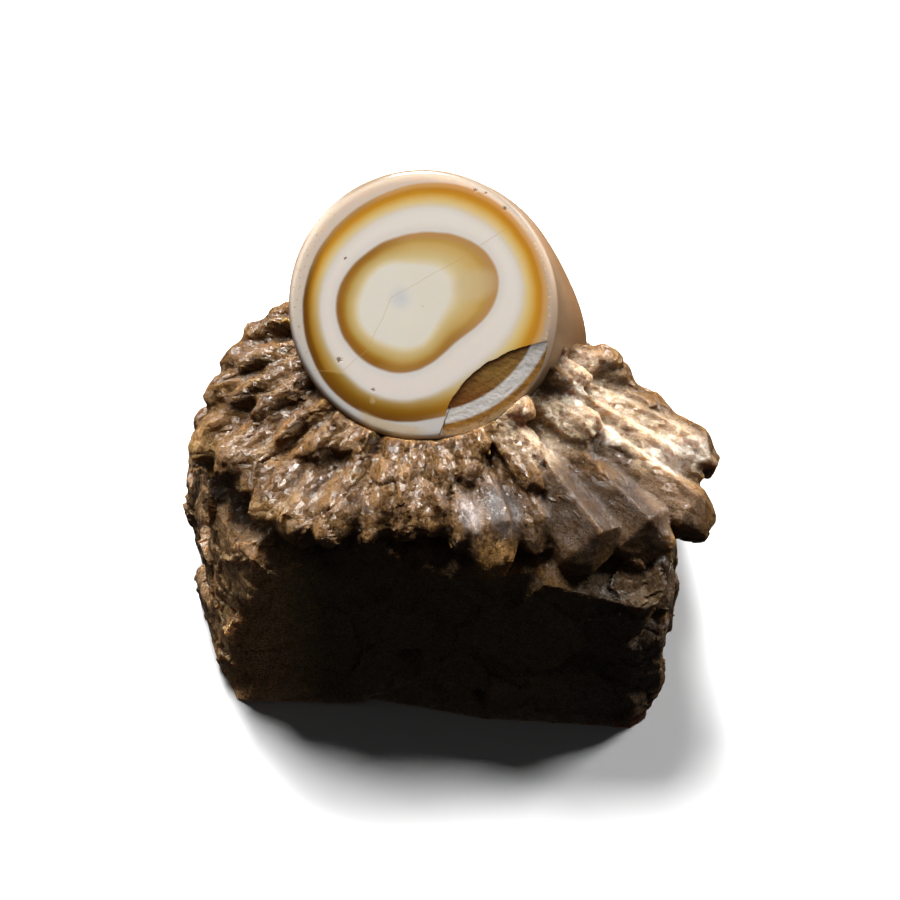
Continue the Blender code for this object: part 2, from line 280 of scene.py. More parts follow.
# %% The skin of the quartz
SKIN_VOXEL = 0.29
SKIN_TRIANGLES = 190000
CRISP_ANGLE = 20.0
FAN_FLOOR = 24.0
SMOOTH_FROM, SMOOTH_TO = 2.0, 12.0
CRISP_FROM, CRISP_TO = -1.0, 6.0
UNDERSIDE_RISE = 1.6
SKIN_SMOOTHING = 30
SOFT_LEVELS = 5

# How far from the eye the quartz is drawn up to its wall, and how far it then reaches into it.
SEAM_REACH = 0.8
SEAM_OVERLAP = 0.12
NOT_BESIDE = 99.0

# The crystals of the relief: their size, and how far they slant, stand out and are grooved along their
# borders.
LONG_RELIEF = ((4.2, 0.16, 0.05, 0.24), (1.5, 0.13, 0.03, 0.05))
SHORT_RELIEF = (1.1, 0.13, 0.02, 0.02)
BLOCK_RELIEF = ((5.0, 0.28, 0.06, 0.06), (1.9, 0.26, 0.05, 0.03))

# The large clear crystal in the middle of the fan has flat, smooth faces.
CALM_CRYSTAL = (5.0, -17.5, 29.5)
CALM_REACH = 3.4

# Where the broken surface stands a little further out or in than the plain crystals: place, reach and
# height.
BULGES = (
    ((19.0, 1.5, 34.5), 4.0, 1.5), ((29.0, -5.0, 29.0), 3.0, 1.0), ((25.5, -18.0, 25.0), 3.0, 0.9),
    ((-29.0, -4.5, 18.0), 5.0, -0.9), ((-29.0, -8.0, 9.0), 4.0, -0.5), ((14.5, -20.0, 26.0), 3.0, 0.8),
    ((27.5, 0.0, 31.0), 4.0, -0.5),
)

# Two crystal tips beside the eye that are worn away on the real stone.
WORN_TIPS = ((8.3, -7.0, 35.8), (13.5, 0.0, 37.5))


def merged_copy(node, name):
    """A copy of a solid of the frame, whose loose triangles are joined along their edges."""
    bm = bmesh.new()
    bm.from_mesh(frame["nodes"][node].data)
    bmesh.ops.remove_doubles(bm, verts=bm.verts, dist=0.005 * MILLIMETRE)
    return new_object(name, finished_mesh(bm, name))


def finished_mesh(bm, name):
    mesh = bpy.data.meshes.new(name)
    bm.to_mesh(mesh)
    bm.free()
    return mesh


def rows_of(mesh, field):
    """A vector of each point, such as its place or its normal, as the rows of an array."""
    values = np.empty(len(mesh.vertices) * 3)
    mesh.vertices.foreach_get(field, values)
    return values.reshape(-1, 3)


def places_of(mesh):
    return rows_of(mesh, "co") / MILLIMETRE


def keep_result(piece):
    """Makes what the modifiers of a piece give its own mesh, and removes them."""
    graph = bpy.context.evaluated_depsgraph_get()
    mesh = bpy.data.meshes.new_from_object(piece.evaluated_get(graph))
    piece.modifiers.clear()
    piece.data = mesh


def apply_modifier(piece, kind, **settings):
    modifier = piece.modifiers.new(kind.title(), kind)
    for name, value in settings.items():
        setattr(modifier, name, value)
    keep_result(piece)


def front_share(x, y):
    """1 on the front of the block, painted darker as shade and with less relief, 0 on its other sides."""
    across = smoothstep(-21.0, -17.0, x) * (1.0 - smoothstep(17.5, 20.5, x))
    return across * (1.0 - smoothstep(-13.0, -8.0, y))


def fan_relief(point):
    """Flat crystals with grooves between them on the left, nearly smooth ones on the right."""
    long_place = warped(drawn_out(point, LONG_CRYSTALS), 2.5, 0.4)
    short_place = warped(drawn_out(point, SHORT_CRYSTALS), 1.2, 0.2)
    rugged = 0.64 - 0.44 * float(smoothstep(SMOOTH_FROM, SMOOTH_TO, point.x))
    calm = float(smoothstep(0.8, 1.6, (point - Vector(CALM_CRYSTAL)).length / CALM_REACH))
    height = sum(crystal_height(long_place, *crystals) for crystals in LONG_RELIEF)
    return rugged * calm * (height + crystal_height(short_place, *SHORT_RELIEF))


def block_relief(point):
    """Broken ledges and flat chips, less of them on the front."""
    place = warped(point, 2.0, 0.5)
    rugged = 1.0 - 0.55 * float(front_share(point.x, point.y))
    return rugged * sum(crystal_height(place, *crystals) for crystals in BLOCK_RELIEF)


def quartz_relief(point):
    """How far a point of the quartz is moved out, in millimetres."""
    in_fan = float(smoothstep(FAN_FLOOR - 2.0, FAN_FLOOR + 2.0, point.z))
    height = 0.12 * noise.fractal(point / 5.0, 1.0, 2.0, 4)
    if in_fan > 0.0:
        height += in_fan * fan_relief(point)
    if in_fan < 1.0:
        height += (1.0 - in_fan) * block_relief(point)
    for middle, reach, bulge in BULGES:
        distance = (point - Vector(middle)).length
        if distance < reach:
            height += bulge * float(1.0 - smoothstep(0.0, reach, distance))
    return height * float(smoothstep(0.0, UNDERSIDE_RISE, point.z))


def gap_to_eye(places):
    """The places in the eye's own frame, and how far each lies outside its wall."""
    in_eye = (places - np.array(EYE_CENTRE)) @ np.array(EYE_ROTATION.to_matrix())
    across, up, height = in_eye.T
    gap = np.hypot(across, up) - EYE_RADIUS - wall_swelling(across, up, height)
    beside = (height > -EYE_DEPTH) & (height < 3.0)
    return in_eye, np.where(beside, gap, NOT_BESIDE)


def soften(piece):
    """Smooths the left half and the worn tips, but not the crystals on the right or the edge at the eye."""
    places = places_of(piece.data)
    share = 1.0 - 0.9 * smoothstep(CRISP_FROM, CRISP_TO, places[:, 0])
    share *= smoothstep(0.6, 3.5, np.abs(gap_to_eye(places)[1]))
    for tip in WORN_TIPS:
        share = np.maximum(share, 1.0 - smoothstep(1.4, 2.8, np.linalg.norm(places - np.array(tip), axis=1)))
    group = piece.vertex_groups.new(name="soft")
    for level in range(1, SOFT_LEVELS + 1):
        members = np.flatnonzero(np.round(share * SOFT_LEVELS) == level)
        group.add(members.tolist(), level / SOFT_LEVELS, "REPLACE")
    apply_modifier(piece, "SMOOTH", factor=0.5, iterations=SKIN_SMOOTHING, vertex_group="soft")
    piece.vertex_groups.clear()


def roughen(piece):
    """Moves every point of the quartz along its normal."""
    mesh = piece.data
    for vertex, normal in zip(mesh.vertices, [v.normal.copy() for v in mesh.vertices]):
        vertex.co += normal * quartz_relief(vertex.co / MILLIMETRE) * MILLIMETRE
    mesh.update()


def close_seam(piece):
    """Draws the quartz beside the eye up to the eye's wall, so that no gap is left."""
    places = places_of(piece.data)
    in_eye, gap = gap_to_eye(places)
    pull = np.where(gap > -0.6, (gap + SEAM_OVERLAP) * np.exp(-(np.maximum(gap, 0.0) / SEAM_REACH) ** 2), 0.0)
    outward = in_eye * (1.0, 1.0, 0.0)
    outward /= np.maximum(np.linalg.norm(outward, axis=1), 1.0)[:, None]
    moved = places - (outward * pull[:, None]) @ np.array(EYE_ROTATION.to_matrix()).T
    piece.data.vertices.foreach_set("co", (moved * MILLIMETRE).astype(np.float32).ravel())
    piece.data.update()


quartz = merged_copy("quartz_matrix", "quartz_rock")
apply_modifier(quartz, "REMESH", mode="VOXEL", voxel_size=SKIN_VOXEL * MILLIMETRE)
soften(quartz)
roughen(quartz)
close_seam(quartz)
skin_triangles = 2 * len(quartz.data.polygons)
apply_modifier(quartz, "DECIMATE", ratio=SKIN_TRIANGLES / skin_triangles)
quartz.data.shade_smooth()
quartz.data.set_sharp_from_angle(angle=math.radians(CRISP_ANGLE))
print("quartz skin:", skin_triangles, "triangles, thinned to", len(quartz.data.polygons))

# %% [markdown]
# Colour follows form on a broken stone: ridges are rubbed pale, hollows hold earth and painted shade, some
# crystals are clear and grey, one tip is frosted white. Where such things lie is stored on the mesh as
# attributes, one number for each point, which the finish reads. The ridges are found by comparing each point
# with the average of its neighbours.

# %% What the finish needs to know about each point
FINE_RIDGE = 0.12
BROAD_RIDGE = 0.5

# The spots of each patch: the middle, the length along the crystals and the width across them.
PATCHES = {
    "lavender": [((2.4, -17.5, 29.8), 4.4, 1.0)],
    "dark_glass": [((6.2, -17.0, 29.8), 4.4, 2.1)],
    "smoky_glass": [((14.5, -16.5, 28.5), 7.0, 4.6), ((21.0, -14.5, 27.6), 5.0, 3.4)],
    "brown_glass": [((25.5, -13.5, 27.5), 5.0, 2.6)],
    "bright": [((16.0, -4.5, 33.2), 9.5, 4.4), ((10.5, -8.0, 33.6), 5.5, 3.9), ((24.0, -7.5, 30.0), 8.5, 3.4),
               ((15.5, -1.5, 35.5), 6.5, 2.6)],
    "frost": [((25.0, -8.6, 29.2), 7.0, 1.9), ((28.0, -7.2, 29.0), 2.6, 1.7), ((18.5, -7.6, 31.5), 4.0, 1.2),
              ((14.5, -4.4, 35.0), 3.0, 1.5)],
    "golden": [((5.0, -21.5, 25.8), 1.4, 3.2), ((9.6, -6.6, 35.0), 1.6, 1.5)],
    "pale_tip": [((-28.6, -7.4, 28.2), 2.6, 3.0), ((-20.3, -16.6, 26.2), 2.6, 3.4)],
    "plug": [((19.0, -9.5, 29.8), 1.7, 1.6)],
    "block_patch": [((22.4, -22.5, 20.0), 4.0, 2.2)],
}


def patch(places, middle, length, width):
    """1 in the middle of a patch that is drawn out along the crystals, and 0 well outside it."""
    middle = np.array(middle)
    grain = middle - np.array(BURST_CENTRE)
    grain /= np.linalg.norm(grain)
    offset = places - middle
    along = offset @ grain
    across = np.linalg.norm(offset - along[:, None] * grain, axis=1)
    return 1.0 - smoothstep(0.6, 1.4, np.hypot(along / length, across / width))


def ridges_of(mesh, places, rounds):
    """How far each point stands out over its neighbourhood: more rounds look at a wider one."""
    ends = np.empty(len(mesh.edges) * 2, int)
    mesh.edges.foreach_get("vertices", ends)
    first, second = ends.reshape(-1, 2).T
    count = len(mesh.vertices)
    degree = np.maximum(np.bincount(first, minlength=count) + np.bincount(second, minlength=count), 1)
    smoothed = places
    for _ in range(rounds):
        columns = []
        for axis in range(3):
            values = smoothed[:, axis]
            total = np.bincount(first, values[second], count) + np.bincount(second, values[first], count)
            columns.append(total / degree)
        smoothed = np.stack(columns, 1)
    return ((places - smoothed) * rows_of(mesh, "normal")).sum(1)


def store(mesh, name, values):
    """Keeps one number, or one vector, for each point of the mesh."""
    kind, field = ("FLOAT", "value") if values.ndim == 1 else ("FLOAT_VECTOR", "vector")
    attribute = mesh.attributes.new(name, kind, "POINT")
    attribute.data.foreach_set(field, values.astype(np.float32).ravel())


def describe_quartz(piece):
    mesh = piece.data
    places = places_of(mesh)
    store(mesh, "ridge", np.clip(ridges_of(mesh, places, 2) / FINE_RIDGE, -1.0, 1.0))
    store(mesh, "rise", np.clip(ridges_of(mesh, places, 14) / BROAD_RIDGE, -1.0, 1.0))
    store(mesh, "lot", np.full(len(places), 0.5))
    store(mesh, "front", front_share(places[:, 0], places[:, 1]))
    for name, spots in PATCHES.items():
        store(mesh, name, np.max([patch(places, *spot) for spot in spots], axis=0))


describe_quartz(quartz)
print("stored on the quartz:", [name for name in quartz.data.attributes.keys() if name in PATCHES])

# %% [markdown]
# ## Shader maths in Python
#
# A procedural finish is mostly arithmetic. One small class wraps the output of a node, so that an expression
# such as 1 - mask places the Math node by itself. Another keeps the tree, and its one method places any
# other node: the node's own settings first, then a number or a wire for each of its sockets.

# %% Wires and the bench they are laid out on
class Wire:
    """One output of a node. Python's signs on it add Math or Vector Math nodes."""

    def __init__(self, bench, socket):
        self.bench = bench
        self.socket = socket

    def rise(self, low, high):
        """0 at low, 1 at high and smooth in between. Low may be the larger one."""
        inputs = {"Value": self, "From Min": low, "From Max": high}
        return self.bench.node("ShaderNodeMapRange", {"interpolation_type": "SMOOTHSTEP"}, inputs)

    def clouds(self, scale, detail=3.0, roughness=0.5):
        """Soft noise at this place."""
        inputs = {"Vector": self, "Scale": scale, "Detail": detail, "Roughness": roughness}
        return self.bench.node("ShaderNodeTexNoise", {"normalize": True}, inputs)

    def split(self):
        return self.bench.node("ShaderNodeSeparateXYZ", None, {0: self}, "all")


class Bench:
    """A node tree and the one way of placing a node in it."""

    def __init__(self, tree):
        self.tree = tree

    def node(self, kind, settings=None, inputs=None, output=0):
        """Places a node. Its settings are set before its sockets, which take a value or a wire."""
        made = self.tree.nodes.new(kind)
        for name, value in (settings or {}).items():
            if name == "stops":
                self.set_stops(made.color_ramp, value)
            else:
                setattr(made, name, value)
        for name, value in (inputs or {}).items():
            if isinstance(value, Wire):
                self.tree.links.new(value.socket, made.inputs[name])
            else:
                made.inputs[name].default_value = value
        if output == "all":
            return [Wire(self, socket) for socket in made.outputs]
        return Wire(self, made.outputs[output]) if made.outputs else made

    def set_stops(self, ramp, stops):
        while len(ramp.elements) < len(stops):
            ramp.elements.new(1.0)
        for element, (position, colour) in zip(ramp.elements, stops):
            element.position = position
            element.color = colour

    def math(self, operation, *values):
        return self.node("ShaderNodeMath", {"operation": operation}, dict(enumerate(values)))

    def vector(self, operation, *values, output=0):
        return self.node("ShaderNodeVectorMath", {"operation": operation}, dict(enumerate(values)), output)

    def combined(self, operation, *sides):
        if any(isinstance(side, Wire) and side.socket.type == "VECTOR" for side in sides):
            spread = [(side,) * 3 if isinstance(side, (int, float)) else side for side in sides]
            return self.vector(operation, *spread)
        return self.math(operation, *sides)

    def largest(self, first, second):
        return self.math("MAXIMUM", first, second)

    def distance(self, first, second):
        return self.vector("DISTANCE", first, second, output="Value")

    def ramp(self, factor, stops):
        return self.node("ShaderNodeValToRGB", {"stops": stops}, {"Fac": factor})

    def blend(self, factor, first, second):
        """The first colour where the factor is 0 and the second where it is 1."""
        return self.node("ShaderNodeMix", {"data_type": "RGBA"}, {0: factor, 6: first, 7: second}, 2)

    def coats(self, colour, *coats):
        """A colour with one coat after another over it, each given by its share and its own colour."""
        for share, paint in coats:
            colour = self.blend(share, colour, paint)
        return colour

    def shaded(self, factor, colour):
        """A colour made lighter or darker by a factor."""
        settings = {"data_type": "RGBA", "blend_type": "MULTIPLY"}
        grey = self.node("ShaderNodeCombineColor", None, {0: factor, 1: factor, 2: factor})
        return self.node("ShaderNodeMix", settings, {0: 1.0, 6: colour, 7: grey}, 2)

    def stored(self, name):
        """A number that was stored on the mesh."""
        return self.node("ShaderNodeAttribute", {"attribute_name": name}, None, "Fac")

    def facets(self, place, size):
        """Flat cells of about this size: the height of a slanting facet and a random number in each."""
        scaled = place / size
        _, tint, middle, *_ = self.node("ShaderNodeTexVoronoi", None, {"Scale": 1.0, "Vector": scaled}, "all")
        lean = self.vector("SUBTRACT", tint, (0.5, 0.5, 0.5))
        height = self.vector("DOT_PRODUCT", scaled - middle, lean, output="Value")
        return height, self.node("ShaderNodeSeparateColor", None, {0: tint})

    def bump(self, height, distance=MILLIMETRE, strength=1.0):
        inputs = {"Strength": strength, "Distance": distance, "Height": height}
        return self.node("ShaderNodeBump", None, inputs)

    def stone(self, colour, roughness, normal, inside, **more):
        """A stone's surface. Inside is how much light enters, how far each colour goes and how many mm."""
        entering, spread, depth = inside
        inputs = {"Base Color": colour, "Roughness": roughness, "Normal": normal, "IOR": STONE_IOR,
                  "Subsurface Weight": entering, "Subsurface Radius": spread,
                  "Subsurface Scale": depth * MILLIMETRE, **more}
        return self.node("ShaderNodeBsdfPrincipled", None, inputs)

    def show(self, shader):
        self.node("ShaderNodeOutputMaterial", None, {"Surface": shader})


OPERATIONS = {"add": "ADD", "sub": "SUBTRACT", "mul": "MULTIPLY", "truediv": "DIVIDE", "pow": "POWER"}
STONE_IOR = 1.54


def give_wires_signs():
    """Lets Python's signs work on wires, also with a plain number on their left."""
    for sign, operation in OPERATIONS.items():
        def onward(self, other, operation=operation):
            return self.bench.combined(operation, self, other)

        def reflected(self, other, operation=operation):
            return self.bench.combined(operation, other, self)

        setattr(Wire, f"__{sign}__", onward)
        setattr(Wire, f"__r{sign}__", reflected)


def new_finish(name):
    material = bpy.data.materials.new(name)
    material.use_nodes = True
    material.node_tree.nodes.clear()
    return material, Bench(material.node_tree)


give_wires_signs()
print("signs that work on wires:", list(OPERATIONS))

# %% [markdown]
# ## The small crystals of the fan
#
# About a hundred small broken crystals lie half sunk in the skin of the fan, all along the large ones.
# Geometry Nodes lay them: a tree scatters points where the skin asks for them, lays one of a few shards at
# each point, along the grain, and sinks it in a little. Each shard keeps a lot between 0 and 1, which shifts
# its tone, and takes all the numbers that are stored on the skin below it.

# %% Shards to choose from
SHARD_KINDS = 7
SHARD_SIDES = 6
SHARD_SEED = 21
BLADE_SPACING = 1.5
BLADES_PER_SQUARE = 1.5
BLADE_SEED = 8
BLADE_SMALLEST = (0.6, 0.25, 0.4)
BLADE_LARGEST = (1.6, 0.5, 1.2)
BLADE_TILT = (4.0, 4.0, 16.0)
BLADE_SINKING = -0.1
EYE_CLEARANCE = 0.5


def shard_collection():
    """Short broken crystals along Z: uneven columns whose two ends are snapped off at a slant."""
    collection = bpy.data.collections.new("shards")
    generator = random.Random(SHARD_SEED)
    for number in range(SHARD_KINDS):
        bm = bmesh.new()
        for end in (-1.0, 1.0):
            slant = generator.uniform(-0.5, 0.5)
            for side in range(SHARD_SIDES):
                turn = 2.0 * math.pi * (side + generator.uniform(-0.3, 0.3)) / SHARD_SIDES
                radius = generator.uniform(0.3, 0.5)
                height = end * (1.0 + slant * math.cos(turn) - generator.uniform(0.0, 0.3))
                bm.verts.new(mm(radius * math.cos(turn), radius * math.sin(turn), height))
        hull = bmesh.ops.convex_hull(bm, input=bm.verts)
        bmesh.ops.delete(bm, geom=list({*hull["geom_interior"], *hull["geom_unused"]}), context="VERTS")
        name = f"shard_{number}"
        collection.objects.link(bpy.data.objects.new(name, finished_mesh(bm, name)))
    return collection


def mark_blade_places(piece):
    """Stores where blades may lie, and which way, on the skin."""
    mesh = piece.data
    places = places_of(mesh)
    normals = rows_of(mesh, "normal")
    away = places - np.array(BURST_CENTRE)
    away /= np.linalg.norm(away, axis=1)[:, None]
    facing = (away * normals).sum(1)
    along = away - facing[:, None] * normals
    along /= np.maximum(np.linalg.norm(along, axis=1), 0.05)[:, None]
    store(mesh, "grain", along)
    store(mesh, "outward", normals)
    smooth = smoothstep(SMOOTH_FROM, SMOOTH_TO, places[:, 0])
    wanted = smoothstep(FAN_FLOOR - 1.0, FAN_FLOOR + 2.0, places[:, 2]) * (1.0 - 0.8 * smooth)
    wanted *= 1.0 - smoothstep(0.2, 0.5, np.abs(facing))
    store(mesh, "blades", wanted * (gap_to_eye(places)[1] > EYE_CLEARANCE))


shards = shard_collection()
mark_blade_places(quartz)


# %% The tree that lays the blades
def random_value(bench, kind, low, high, seed, output=0):
    """A random value between two limits, which sit on other sockets for each kind of value."""
    first = {"FLOAT_VECTOR": 0, "FLOAT": 2, "INT": 4}[kind]
    inputs = {first: low, first + 1: high, "Seed": seed}
    return bench.node("FunctionNodeRandomValue", {"data_type": kind}, inputs, output)


def named(bench, name, kind="FLOAT"):
    return bench.node("GeometryNodeInputNamedAttribute", {"data_type": kind}, {"Name": name})


def blade_tree():
    tree = bpy.data.node_groups.new("lay_blades", "GeometryNodeTree")
    given = {"Geometry": "Geometry", "Shards": "Collection", "Seed": "Int", "Finish": "Material"}
    for name, kind in given.items():
        tree.interface.new_socket(name, in_out="INPUT", socket_type="NodeSocket" + kind)
    tree.interface.new_socket("Geometry", in_out="OUTPUT", socket_type="NodeSocketGeometry")
    bench = Bench(tree)
    skin, collection, seed, finish, *_ = bench.node("NodeGroupInput", output="all")

    scatter = {
        "Mesh": skin,
        "Distance Min": BLADE_SPACING * MILLIMETRE,
        "Density Max": BLADES_PER_SQUARE / MILLIMETRE**2,
        "Density Factor": named(bench, "blades"),
        "Seed": seed,
    }
    scattered = bench.node("GeometryNodeDistributePointsOnFaces", {"distribute_method": "POISSON"}, scatter)
    outward = named(bench, "outward", "FLOAT_VECTOR")
    sinking = {"Geometry": scattered, "Offset": outward * (BLADE_SINKING * MILLIMETRE)}
    sunk = bench.node("GeometryNodeSetPosition", None, sinking)
    grain = named(bench, "grain", "FLOAT_VECTOR")
    along = bench.node("FunctionNodeAlignRotationToVector", None, {"Vector": grain})
    flat = bench.node("FunctionNodeAlignRotationToVector", {"axis": "Y", "pivot_axis": "Z"},
                      {"Rotation": along, "Vector": outward})
    most = tuple(math.radians(angle) for angle in BLADE_TILT)
    tilt = random_value(bench, "FLOAT_VECTOR", tuple(-angle for angle in most), most, 1)
    euler = bench.node("FunctionNodeEulerToRotation", None, {"Euler": tilt})
    turned = bench.node("FunctionNodeRotateRotation", {"rotation_space": "LOCAL"},
                        {"Rotation": flat, "Rotate By": euler})
    picked = bench.node("GeometryNodeCollectionInfo", None,
                        {"Collection": collection, "Separate Children": True, "Reset Children": True})
    laying = {
        "Points": sunk,
        "Instance": picked,
        "Pick Instance": True,
        "Instance Index": random_value(bench, "INT", 0, SHARD_KINDS - 1, 3, 2),
        "Rotation": turned,
        "Scale": random_value(bench, "FLOAT_VECTOR", BLADE_SMALLEST, BLADE_LARGEST, 4),
    }
    laid = bench.node("GeometryNodeInstanceOnPoints", None, laying)
    lot = {"Geometry": laid, "Name": "lot", "Value": random_value(bench, "FLOAT", 0.0, 1.0, 5, 1)}
    kept = bench.node("GeometryNodeStoreNamedAttribute", {"data_type": "FLOAT", "domain": "INSTANCE"}, lot)
    real = bench.node("GeometryNodeRealizeInstances", None, {"Geometry": kept})
    finished = bench.node("GeometryNodeSetMaterial", None, {"Geometry": real, "Material": finish})
    bench.node("NodeGroupOutput", None, {"Geometry": finished})
    return tree


def lay_blades(skin, finish):
    blades = new_object("quartz_blades", skin.data)
    tree = blade_tree()
    modifier = blades.modifiers.new("Blades", "NODES")
    modifier.node_group = tree
    values = {"Shards": shards, "Seed": BLADE_SEED, "Finish": finish}
    for socket in tree.interface.items_tree:
        if socket.name in values:
            modifier[socket.identifier] = values[socket.name]
    keep_result(blades)
    return blades


print("a blade is about", BLADE_LARGEST[2] * 2.0, "mm long at most")

# %% [markdown]
# ## The finish of the quartz
#
# Smoky quartz is brown glass full of cracks, and what the eye sees is mostly the cracks: small flat facets
# that each catch the light in their own way, streaks along the crystals, and earth in between. So the finish
# uses cells of three sizes with a random slant, drawn-out clouds for the streaks, and the stored ridges for
# wear, and for earth and painted shade in the hollows. Some cells are polished and glitter. The patches then
# turn some crystals smoky, grey or bright, and one tip white. Painted shade makes the quartz darker lower
# down and the block darker on its front and right side, and painted light makes its front-left face lighter.

# %% Quartz finish
EARTH = pigment(56, 36, 17)
BROWN_QUARTZ = pigment(88, 60, 29)
TAN_QUARTZ = pigment(119, 86, 44)
PALE_QUARTZ = pigment(166, 130, 80)
BRIGHT_QUARTZ = pigment(216, 186, 148)
BRIGHT_HOLLOW = pigment(150, 114, 76)
LAVENDER_GREY = pigment(158, 146, 140)
DARK_GLASS = pigment(70, 60, 54)
SMOKY_GREY = pigment(46, 28, 13)
SMOKY_LIGHT = pigment(74, 50, 27)
BROWN_GLASS = pigment(128, 100, 74)
FROST = pigment(240, 224, 206)
GOLD_STAIN = pigment(180, 132, 66)
PLUG_BROWN = pigment(84, 62, 40)
BLOCK_BROWN = pigment(120, 92, 62)
# Painted shade for the front of the block.
BLOCK_FRONT_SHADE = pigment(104, 82, 52)
BLOCK_TAN = pigment(134, 104, 64)
RUST = pigment(128, 52, 22)
QUARTZ_SPREAD = (1.0, 0.62, 0.36)
QUARTZ_TONES = [(0.26, EARTH), (0.42, BROWN_QUARTZ), (0.6, TAN_QUARTZ), (0.84, PALE_QUARTZ)]

# The sizes of the cells, and how far the second and third kind are moved so that they don't line up.
LARGE_CELL, SMALL_CELL, GRAIN = 1.3, 0.5, 0.24
SMALL_SHIFT, GRAIN_SHIFT = 40.0, 80.0


def drawn_out_wire(bench, place, stretch):
    """The same squeezed space as drawn_out, as nodes."""
    away = place - tuple(BURST_CENTRE)
    length = bench.vector("LENGTH", away, output="Value")
    return away * (CRYSTAL_REFERENCE / bench.largest(length, 1.0)) ** (1.0 - 1.0 / stretch)


def with_patches(bench, colour, streaks, hairs, veils, sand):
    """The single crystals that are grey, smoky, bright, frosted or stained, painted over the stone."""
    glassy = bench.blend((0.5 * streaks + 0.5 * hairs).rise(0.34, 0.62), BRIGHT_HOLLOW, BRIGHT_QUARTZ)
    layers = (
        ("bright", 0.85, bench.blend(0.4 * veils, glassy, FROST)),
        ("smoky_glass", 0.9, bench.blend(0.6 * veils, SMOKY_GREY, SMOKY_LIGHT)),
        ("brown_glass", 0.8, bench.shaded(0.7 + 0.6 * streaks, BROWN_GLASS)),
        ("dark_glass", 0.9, bench.blend(sand.rise(0.66, 0.74), DARK_GLASS, LAVENDER_GREY)),
        ("lavender", 0.85, LAVENDER_GREY),
        ("pale_tip", 0.5, PALE_QUARTZ),
        ("plug", 1.0, PLUG_BROWN),
    )
    colour = bench.coats(colour, *((most * bench.stored(name), paint) for name, most, paint in layers))
    frosting = (bench.stored("frost") - 0.6 * (1 - streaks)).rise(0.1, 0.7)
    golden = 0.75 * bench.stored("golden") * sand.rise(0.3, 0.6)
    return bench.coats(colour, (0.6 * frosting, FROST), (golden, GOLD_STAIN))


def quartz_finish():
    material, bench = new_finish("smoky_quartz")
    place = bench.node("ShaderNodeTexCoord", None, None, "Object") * (1.0 / MILLIMETRE)
    drawn = drawn_out_wire(bench, place, LONG_CRYSTALS)
    short = drawn_out_wire(bench, place, SHORT_CRYSTALS)
    sideways, backwards, height = place.split()
    broad = place.clouds(0.16, 4.0)
    streaks = drawn.clouds(1.0, 7.0, 0.66)
    hairs = drawn.clouds(2.6, 5.0, 0.6)
    sand = place.clouds(5.0, 4.0, 0.75)
    veils = place.clouds(0.9, 6.0, 0.65).rise(0.35, 0.65)
    large_facets, large_chance = bench.facets(short, LARGE_CELL)
    small_facets, small_chance = bench.facets(short + SMALL_SHIFT, SMALL_CELL)
    grains, grain_chance = bench.facets(place + GRAIN_SHIFT, GRAIN)
    ridge = bench.stored("ridge")
    grit = sand.rise(0.36, 0.64)

    tone = 0.5 * broad + 0.4 * streaks + 0.25 * hairs + 0.12 * large_chance + 0.1 * small_chance + 0.14 * grit
    tone = tone + 0.14 * bench.stored("lot") - 0.33
    colour = with_patches(bench, bench.ramp(tone, QUARTZ_TONES), streaks, hairs, veils, sand)
    hollow = bench.largest(ridge.rise(-0.1, -0.9), bench.stored("rise").rise(-0.1, -1.0))
    # Ridges are worn pale. The hollows take the earth colour, which is partly earth and partly painted shade.
    colour = bench.coats(colour, (0.25 * ridge.rise(0.2, 1.0), PALE_QUARTZ),
                         ((0.5 - 0.3 * bench.stored("bright")) * hollow, EARTH))
    # Painted shade: the quartz is darker lower down, below the top of the fan.
    colour = bench.shaded(height.rise(22.0, 32.0) * 0.2 + 0.8, colour)

    under = (height + 4.0 * broad - 2.0).rise(25.0, 21.0)
    # Painted shade: the front of the block is darker than its other sides.
    block = bench.blend(bench.stored("front"), BLOCK_BROWN, BLOCK_FRONT_SHADE)
    block = bench.shaded(0.4 + 1.2 * grit * streaks * 2.0, block)
    block = bench.blend(bench.stored("block_patch"), block, BLOCK_TAN)
    # Painted light and shade: the front-left face of the block is lighter and its right side darker.
    front_left = sideways.rise(-13.0, -20.0) * sideways.rise(-30.0, -25.0)
    side_light_and_shade = 0.8 + 1.7 * front_left * backwards.rise(0.0, -6.0)
    block = bench.shaded(side_light_and_shade - 0.4 * sideways.rise(12.0, 20.0), block)
    corners = bench.largest(sideways.rise(-8.0, -16.0), sideways.rise(14.0, 22.0))
    rusty = (height + 3.0 * veils).rise(3.6, 0.6) * corners
    colour = bench.coats(colour, (0.9 * under, block), (0.75 * rusty, RUST))

    clear = bench.largest(bench.stored("smoky_glass"), bench.stored("dark_glass"))
    relief = (0.5 * large_facets + 0.36 * small_facets) * (1 - 0.8 * clear)
    relief = relief + 0.07 * grains * (1 - 0.6 * clear) + 0.06 * sand
    bump = bench.bump(relief)
    weak = {"Specular IOR Level": 0.22}
    stone = bench.stone(colour, 0.55 + 0.15 * grit, bump, (0.5, QUARTZ_SPREAD, 1.2), **weak)
    # The glassy part is darker, and darker still in the hollows, which is painted shade.
    darker = bench.shaded(0.8 - 0.2 * hollow, colour)
    glass = bench.stone(darker, 0.14 + 0.1 * streaks, bump, (0.9, QUARTZ_SPREAD, 3.0))
    glints = bench.largest(0.7 * small_chance.rise(0.66, 0.74), grain_chance.rise(0.6, 0.64))
    polish = bench.largest(0.12 * clear, 0.4 * bench.stored("bright"))
    polish = bench.largest(0.9 * glints * (1 - 0.7 * hollow), polish)
    bench.show(bench.node("ShaderNodeMixShader", None, {0: polish, 1: stone, 2: glass}))
    return material


